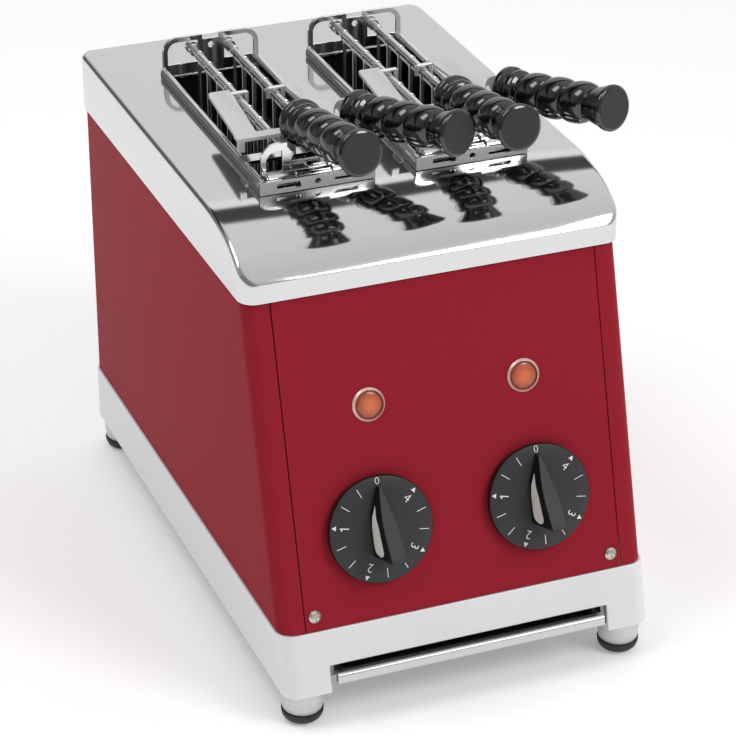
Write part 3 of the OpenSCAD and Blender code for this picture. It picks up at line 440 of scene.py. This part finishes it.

# Timer knobs: a grey moulded disc with a fin-like grip that rises from its tip to its tail, a pale teardrop
# let into each flank, and white printed figures. It is pushed on the timer's shaft; at zero the tip points up.
# The disc's rim wall and the grip's flanks are painted near-black as shade.
knob_x, knob_s, knob_r = 0.0475, 0.0515, 0.0305
knob_lift, knob_rim = 0.002, 0.004
face_z = knob_lift + knob_rim
face_flat_r, face_edge_r, face_fall = knob_r - 0.010, knob_r - 0.0012, 0.0004
disc_foot, rim_round, edge_on = 0.0006, ((0, 0.0014), (0.0004, 0.0008)), 0.6
grip_tip, grip_tail = knob_r - 0.0052, knob_r - 0.0162
grip_h, tip_h, grip_sunk, grip_edge = 0.025, 0.0034, 0.0005, 0.0006
grip_half, tip_half, even_to, foot_swell, sideways = 0.0063, 0.0006, 0.009, 0.9, 0.8
ridge_half, ridge_tip_half, ridge_run, tail_lean = 0.0046, 0.0005, 0.7, 0.001
inlay_from, inlay_l, inlay_lift = 0.0154, 0.0276, 0.0003
inlay_share, inlay_spread, inlay_point, inlay_swell, inlay_round = 0.405, 0.265, 0.45, 0.75, 0.16
figure_h, zero_h, type_share, type_thin, print_lift = 0.0052, 0.0043, 0.72, 0.00008, 0.00004
figure_at, zero_at, arrow_at, tick_at = 0.72 * knob_r, 0.905 * knob_r, 0.925 * knob_r, 0.82 * knob_r
arrow_half, arrow_rise, tick_half, tick_reach = 0.0014, 0.0013, 0.0002, 0.0028
figure_step, tick_step = radians(78), radians(26)
panel_across = np.array([1.0, 0, 0])
panel_up = np.array([0, sin(lean), cos(lean)])
panel_out = np.array([0, -cos(lean), sin(lean)])
panel_at = np.array([0, *wrap_low[1:]])


def on_panel(points, x, s):
    """Places points given across, up the slope and out of the panel, counted from the spot x, s on it."""
    points = np.asarray(points, float)
    return (panel_at + (points[..., :1] + x) * panel_across + (points[..., 1:2] + s) * panel_up
            + points[..., 2:] * panel_out)


def disc_face(r):
    """Height of the disc's printed face over the panel at radius r: level inside, falling to the rim."""
    return face_z - face_fall * np.clip((r - face_flat_r) / (face_edge_r - face_flat_r), 0, 1)


def grip_section(y):
    """Half widths of the grip's foot and top and its height at y along it.

    The foot is parallel from the tail to a little past the shaft and then runs in to the tip; the top edge
    falls in a straight line from tail to tip and narrows on a quarter sine wave.
    """
    run_in = np.clip((grip_tip - y) / (grip_tip - even_to), 0, 1)
    along = (grip_tip - y) / (grip_tip + grip_tail)
    foot = tip_half + (grip_half - tip_half) * run_in**foot_swell
    top = ridge_tip_half + (ridge_half - ridge_tip_half) * np.sin(pi / 2 * np.minimum(1, along / ridge_run))
    return foot, top, tip_h + (grip_h - tip_h) * along


def grip_surface():
    """The grip from tip to tail: each cross-section runs foot, top, top, foot; the tail leans in on top."""
    y = np.concatenate([np.linspace(grip_tip, even_to, 12), np.linspace(even_to, -grip_tail, 10)[1:]])
    foot, top, height = grip_section(y)
    low, high = np.full_like(y, face_z - grip_sunk), face_z + height
    top_y = y + tail_lean * (y < -grip_tail + 1e-6)
    return np.stack([np.stack([-foot, y, low], -1), np.stack([-top, top_y, high], -1),
                     np.stack([top, top_y, high], -1), np.stack([foot, y, low], -1)], 1)


def inlay_surface(flank):
    """Teardrop on a flank: a band round a fixed share of the grip's height, pointed in front, round behind."""
    u = np.linspace(0, 1, 40)[:, None]
    y = inlay_from - inlay_l * u
    foot, top, height = grip_section(y)
    point = np.minimum(1, (u / inlay_point) ** inlay_swell)
    behind = np.sqrt(1 - np.clip((u - 1 + inlay_round) / inlay_round, 0, 1) ** 2)
    share = inlay_share + inlay_spread * point * behind * np.linspace(-1, 1, 5)
    x = flank * (foot + (top - foot) * share + inlay_lift)
    return np.stack([x, np.broadcast_to(y, x.shape), face_z + share * height], -1)


def second_finish(piece, material, choose):
    """Paints shade on the faces that choose picks by their normals, with a second, darker material."""
    normals = np.empty(len(piece.data.polygons) * 3)
    piece.data.polygons.foreach_get("normal", normals)
    piece.data.materials.append(material)
    piece.data.polygons.foreach_set("material_index", choose(normals.reshape(-1, 3)).astype(np.int32))


def printed(points, angle, r):
    """Lays flat print on the disc: its y axis points outwards at angle, its height follows the face."""
    points = np.asarray(points, float)
    x, y = points[..., 0], points[..., 1] + r
    z = disc_face(np.hypot(x, y)) + print_lift + points[..., 2]
    return np.stack([x * cos(angle) - y * sin(angle), x * sin(angle) + y * cos(angle), z], -1)


def figure(text, height):
    """Points and faces of a plain figure, centred and made a mesh; a one is drawn with a longer flag."""
    if text == "1":
        one = [(0.06, -0.5, 0), (0.06, 0.5, 0), (-0.04, 0.5, 0), (-0.3, 0.3, 0), (-0.24, 0.2, 0),
               (-0.06, 0.33, 0), (-0.06, -0.5, 0)]
        return height * np.array(one), [list(range(len(one)))]
    letters = bpy.data.curves.new("figure", "FONT")
    letters.body = text
    letters.size = height / type_share
    letters.offset = -type_thin
    letters.align_x, letters.align_y = "CENTER", "CENTER"
    letters.resolution_u = 4
    stand_in = bpy.data.objects.new("figure", letters)
    mesh = bpy.data.meshes.new_from_object(stand_in)
    points = np.empty(len(mesh.vertices) * 3)
    mesh.vertices.foreach_get("co", points)
    faces = [list(face.vertices) for face in mesh.polygons]
    bpy.data.objects.remove(stand_in)
    bpy.data.meshes.remove(mesh)
    bpy.data.curves.remove(letters)
    return points.reshape(-1, 3), faces


def dial_print():
    """All white print of one disc: figures, an arrow outside each but zero, two ticks between figures."""
    arrow = [(-arrow_half, -arrow_rise, 0), (arrow_half, -arrow_rise, 0), (0, arrow_rise, 0)]
    tick = [(-tick_half, -tick_reach, 0), (tick_half, -tick_reach, 0), (tick_half, tick_reach, 0),
            (-tick_half, tick_reach, 0)]
    marks = []
    for number in range(5):
        angle = number * figure_step
        points, faces = figure(str(number), figure_h if number else zero_h)
        marks.append((printed(points, angle, figure_at if number else zero_at), faces))
        if number:
            marks.append((printed(arrow, angle, arrow_at), [[0, 1, 2]]))
        if number < 4:
            marks += [(printed(tick, angle + i * tick_step, tick_at), [[0, 1, 2, 3]]) for i in (1, 2)]
    start = np.cumsum([0] + [len(points) for points, faces in marks])
    return (np.concatenate([points for points, faces in marks]),
            [[int(first) + v for v in face] for first, (points, faces) in zip(start, marks) for face in faces])


knob_grey = grain(surface("knob_grey", tint(52, 53, 52), 0, 0.5, Specular_IOR_Level=0.3), 0.0005, 0.00002)
# A near-black copy of the knob's grey, painted as shade on the disc's rim wall and the grip's flanks.
knob_painted_shade = surface("knob_painted_shade", tint(17, 17, 17), 0, 0.4, Specular_IOR_Level=0.3)
knob_inlay = surface("knob_inlay", tint(214, 212, 206), 0, 0.4)
knob_print = surface("knob_print", tint(235, 235, 233), 0, 0.5)
disc_profile = [(0, knob_lift), (knob_r - disc_foot, knob_lift), (knob_r, knob_lift + disc_foot),
                *[(knob_r - inward, face_z - down) for inward, down in rim_round],
                (face_edge_r, face_z - face_fall), (face_flat_r, face_z), (0, face_z)]
for side, sx in (("left", -1), ("right", 1)):
    knob = side + "_knob"
    at = sx * knob_x, knob_s
    disc = turned(disc_profile, 96)
    plate = shell(knob + "_disc", on_panel(disc, *at), quads(*disc.shape[:2], joined=True), knob_grey, knob,
                  [knob])
    # Painted shade: the disc's sideways-facing rim wall is made near-black.
    second_finish(plate, knob_painted_shade, lambda normal: np.abs(normal @ panel_out) < edge_on)
    grip = grip_surface()
    tail = len(grip) * 4
    grip_faces = quads(*grip.shape[:2]).tolist() + [[0, 1, 2, 3], [tail - 4, tail - 3, tail - 2, tail - 1]]
    fin = shell(knob + "_grip", on_panel(grip, *at), grip_faces, knob_grey, knob)
    # Painted shade: both flanks of the grip are made near-black; the inlays sit on them.
    second_finish(fin, knob_painted_shade, lambda normal: np.abs(normal[:, 0]) > sideways)
    soften(fin, grip_edge, 3)
    for name, flank in (("left", -1), ("right", 1)):
        strip = inlay_surface(flank)
        shell(f"{knob}_{name}_inlay", on_panel(strip, *at), quads(*strip.shape[:2]), knob_inlay, knob,
              [knob + "_inlays"] if flank < 0 else ())
    points, faces = dial_print()
    shell(knob + "_print", on_panel(points, *at), faces, knob_print, knob)
    dressed(knob + "_shaft", screw_steel, 0)

# Tongs: chromed rails, stamped arched plates, a cross rod with rolled sleeves, a bent stop and a bridge, all
# welded. Two flat levers turn on the bridge and carry the handles; staples on their tips draw the wire grids
# apart.
plate_edge = 0.0003
upright_count, first_upright_in, last_upright_in = 8, 0.0395, 0.0098
upright_from, upright_to = slot_front + first_upright_in, slot_rear - last_upright_in
upright_pitch = (upright_to - upright_from) / (upright_count - 1)
grid_x, grid_h, rod_h = 0.011, 0.148, 0.0155
grid_z = deck_z + rod_h
rod_r, upright_r = 0.00225, 0.0011
loop_r, loop_bend, loop_drop = 0.0009, 0.002, 0.0042
eye_r, eye_gap = 0.0005, 0.0001


def loop_wire(y):
    """Half a wire loop beside the upright at y: a leg rises from the grid's foot and bends to the next one.

    Each station of the bent path carries a circle across the path; the two end circles shrink to a point.
    """
    leg_y, top = y + upright_r + loop_r, grid_z - loop_drop
    a = np.linspace(0, pi / 2, 7)
    bend = np.stack([leg_y + loop_bend * (1 - np.cos(a)), top - loop_bend * (1 - np.sin(a))], -1)
    path = np.concatenate([[[leg_y, grid_z - grid_h + upright_r]], bend, [[y + upright_pitch, top]]])
    way = np.gradient(path, axis=0)
    way /= np.hypot(*way.T)[:, None]
    ends_twice = [0, *range(len(path)), len(path) - 1]
    path, way = path[ends_twice], way[ends_twice]
    size = np.full((len(path), 1), loop_r)
    size[[0, -1]] = 0
    b = np.linspace(0, 2 * pi, 12, endpoint=False)
    flat = size * np.cos(b)
    return np.stack([size * np.sin(b), path[:, :1] - way[:, 1:] * flat, path[:, 1:] + way[:, :1] * flat], -1)


def wire_eye(y):
    """The turn of wire round the rod at y: a ring of circles round the rod's axis."""
    a, b = np.meshgrid(np.linspace(0, 2 * pi, 25), np.linspace(0, 2 * pi, 10, endpoint=False), indexing="ij")
    reach = rod_r + eye_gap + eye_r * np.cos(b)
    return np.stack([reach * np.cos(a), y + eye_r * np.sin(b), grid_z + reach * np.sin(a)], -1)


chrome = surface("chromed_wire", tint(228, 228, 230), 1, 0.14)
grid_wire = surface("grid_wire", tint(222, 222, 223), 0.95, 0.2)
loop_steel = surface("loop_steel", tint(228, 228, 228), 0.15, 0.3)
lever_steel = surface("lever_steel", tint(225, 225, 224), 0.75, 0.42)
uprights = upright_from + upright_pitch * np.arange(upright_count)
for side, sx in (("left", -1), ("right", 1)):
    tong = side + "_tong_"
    for piece in ("rails", "rear_plate", "front_plate", "cross_rod", "front_stop", "bridge"):
        dressed(tong + piece, chrome, plate_edge)
    for hand, hx in (("left", -1), ("right", 1)):
        dressed(f"{tong}{hand}_lever", lever_steel, plate_edge)
        grid = f"{tong}{hand}_grid"
        dressed(grid, grid_wire, 0)
        at = np.array([sx * slot_x + hx * grid_x, 0, 0])
        points, faces = several([loop_wire(y) + at for y in uprights[:-1]])
        shell(grid + "_loops", points, faces, loop_steel, grid)
        points, faces = several([wire_eye(y) + at for y in uprights])
        shell(grid + "_eyes", points, faces, grid_wire, grid)

# Handles: black bakelite mouldings on the levers' ferrules, with a thin collar, a neck ring, three leaning
# finger beads and a flared end closed by a flat matt disc.
handle_l, handle_r, bead_r, core_r = 0.082, 0.013, 0.0121, 0.009
bead_lean, handle_rise = radians(14), radians(9)
bead_from, bead_to, bead_count, bead_sunk = 0.0140, 0.0655, 3, 0.0012
bead_flat, bead_round = 2.4, 0.45
handle_roots = {"left": (0.000493, radians(3.5)), "right": (0.03365, radians(22))}
root_y, root_h = -0.031008, 0.0275
collar = [(0, 0.0118), (0.0008, 0.0128), (0.0016, handle_r), (0.0040, handle_r), (0.0050, 0.0120)]
neck_ring = [(0.0060, 0.0110), (0.0070, 0.0114), (0.0085, 0.0118), (0.0105, 0.0118), (0.0120, 0.0112)]
core = [(0.0132, core_r), (bead_to, core_r), (bead_to + 0.002, core_r + 0.0004)]
flare = [(bead_to + 0.006, 0.0106), (handle_l - 0.006, 0.0118), (handle_l - 0.0025, handle_r),
         (handle_l - 0.0008, handle_r), (handle_l, handle_r - 0.0008)]
disc_r, disc_sunk, disc_rim, disc_crown = 0.0112, 0.0006, 0.0002, 0.0003


def handle_surface():
    """Radius along and round the handle: collar, neck ring and end are turned, and the beads between lean.

    A bead's coordinate is the distance along the axis less the lean times the height over the axis. Its crown
    is a rounded barrel over the core, and the radius at each point is the larger of the turned profile and the
    barrel.
    """
    z = np.concatenate([[0, 0, 0.0004], np.linspace(0.001, handle_l - 0.001, 190),
                        [handle_l - 0.0004, handle_l, handle_l]])[:, None]
    a = np.linspace(0, 2 * pi, 72, endpoint=False)
    base = np.interp(z, *np.array(collar + neck_ring + core + flare).T)
    base[[0, -1]] = 0
    t = (z - tan(bead_lean) * core_r * np.sin(a) - bead_from) / (bead_to - bead_from) * bead_count
    across = 2 * (t - np.floor(t)) - 1
    crown = np.clip(1 - np.abs(across) ** bead_flat, 0, 1) ** bead_round
    barrel = core_r - bead_sunk + (bead_r - core_r + bead_sunk) * crown
    beaded = (t > 0) & (t < bead_count) & (base > 0)
    r = np.where(beaded, np.maximum(barrel, np.where(base > core_r + 1e-5, base, 0)), base)
    return np.stack([r * np.cos(a), r * np.sin(a), np.broadcast_to(z, r.shape)], -1)


def along_handle(points, side_x, hand):
    """Places points whose z runs along a handle from its root: raised, turned and moved to its lever."""
    root_x, turn = handle_roots[hand]
    out = np.array([cos(handle_rise) * sin(turn), -cos(handle_rise) * cos(turn), sin(handle_rise)])
    across = np.array([cos(turn), sin(turn), 0])
    up = np.cross(out, across)
    root = np.array([side_x + root_x, root_y, deck_z + root_h])
    return root + points[..., :1] * across + points[..., 1:2] * up + points[..., 2:] * out


bakelite = surface("bakelite", tint(5, 5, 5), 0, 0.13, Specular_IOR_Level=1)
disc_black = surface("handle_disc", tint(52, 52, 53), 0, 0.6, Specular_IOR_Level=0.3)
disc_cap = [(0, handle_l - disc_sunk), (disc_r, handle_l - disc_sunk), (disc_r, handle_l + disc_rim),
            (0, handle_l + disc_crown)]
for side, sx in (("left", -1), ("right", 1)):
    for hand in ("left", "right"):
        arm = f"{side}_tong_{hand}"
        grid, cap = handle_surface(), turned(disc_cap, 64)
        shell(arm + "_grip", along_handle(grid, sx * slot_x, hand), quads(*grid.shape[:2], joined=True),
              bakelite, arm + "_lever", [arm + "_handle"], crease=50)
        shell(arm + "_end_disc", along_handle(cap, sx * slot_x, hand), quads(*cap.shape[:2], joined=True),
              disc_black, arm + "_lever")

# Studio: a white floor and a pale sky that changes from front to back and is dimmer on the left. A dark stripe
# and a dark card behind give the polished metal something to mirror. Two square soft lights hang high on
# either side.
floor_half = 6
left_dim, card_dim = 0.5, 0.65
floor_white = surface("floor_white", (0.88, 0.88, 0.88), 0, 0.9, Specular_IOR_Level=0,
                      Emission_Color=(1, 1, 1, 1), Emission_Strength=0.25)
floor_mesh = bpy.data.meshes.new("floor")
floor_mesh.from_pydata([(x * floor_half, y * floor_half, 0) for x, y in ((-1, -1), (1, -1), (1, 1), (-1, 1))],
                       [], [[0, 1, 2, 3]])
floor_mesh.materials.append(floor_white)
floor = bpy.data.objects.new("floor", floor_mesh)
bpy.context.scene.collection.objects.link(floor)

world = bpy.data.worlds.new("studio")
bpy.context.scene.world = world
world.use_nodes = True
tree = world.node_tree
place = tree.nodes.new("ShaderNodeTexCoord")
direction = tree.nodes.new("ShaderNodeSeparateXYZ")
tree.links.new(place.outputs["Generated"], direction.inputs[0])


def maths(operation, *values):
    """One step of sums in the sky; each value is a number or another step's result."""
    step = tree.nodes.new("ShaderNodeMath")
    step.operation = operation
    for socket, value in zip(step.inputs, values):
        if isinstance(value, bpy.types.NodeSocket):
            tree.links.new(value, socket)
        else:
            socket.default_value = value
    return step.outputs[0]


def fade(part, start, end, low=0, high=1):
    """A share that runs from low to high while one part of the direction runs from start to end."""
    step = tree.nodes.new("ShaderNodeMapRange")
    for name, value in zip(("From Min", "From Max", "To Min", "To Max"), (start, end, low, high)):
        step.inputs[name].default_value = value
    tree.links.new(direction.outputs[part], step.inputs["Value"])
    return step.outputs["Result"]


sky = [(0, 0.5), (40, 0.48), (52, 0.67), (90, 0.81), (131, 0.85), (133, 0.07), (143, 0.06), (145, 1),
       (149, 1), (152, 0.84)]
ramp = tree.nodes.new("ShaderNodeValToRGB")
for i, (degrees, light) in enumerate(sky):
    stop = ramp.color_ramp.elements[i] if i < 2 else ramp.color_ramp.elements.new(degrees / 180)
    stop.position = degrees / 180
    stop.color = (light, light, light, 1)
from_front = maths("ARCTAN2", direction.outputs["Z"], maths("MULTIPLY", direction.outputs["Y"], -1))
card_across = maths("MULTIPLY", fade("X", -0.7, -0.55), fade("X", -0.1, -0.25))
card = maths("MULTIPLY", fade("Y", 0.6, 0.75), card_across)
strength = maths("MULTIPLY", fade("X", -0.3, 0.15, left_dim, 1), maths("MULTIPLY_ADD", card, -card_dim, 1))
tree.links.new(maths("DIVIDE", from_front, pi), ramp.inputs[0])
tree.links.new(ramp.outputs["Color"], tree.nodes["Background"].inputs["Color"])
tree.links.new(strength, tree.nodes["Background"].inputs["Strength"])

for name, size, energy, at, turn in (
        ("overhead", 0.95, 11.5, (-0.85, 0.1, 1.85), (0, radians(-28), 0)),
        ("key", 1.0, 25, (1.3, -1.8, 2.05), (radians(50), 0, radians(36)))):
    lamp = bpy.data.lights.new(name, "AREA")
    lamp.shape = "SQUARE"
    lamp.size = size
    lamp.energy = energy
    soft = bpy.data.objects.new(name, lamp)
    soft.location = at
    soft.rotation_euler = turn
    bpy.context.scene.collection.objects.link(soft)

camera = bpy.data.cameras.new("camera")
camera.lens = 143.913
camera.sensor_width = 36
eye = bpy.data.objects.new("camera", camera)
eye.location = (-0.560525, -1.436883, 0.943005)
eye.rotation_euler = (radians(61.871), 0, radians(-21.569))
bpy.context.scene.collection.objects.link(eye)
bpy.context.scene.camera = eye
bpy.context.scene.view_settings.view_transform = "Standard"
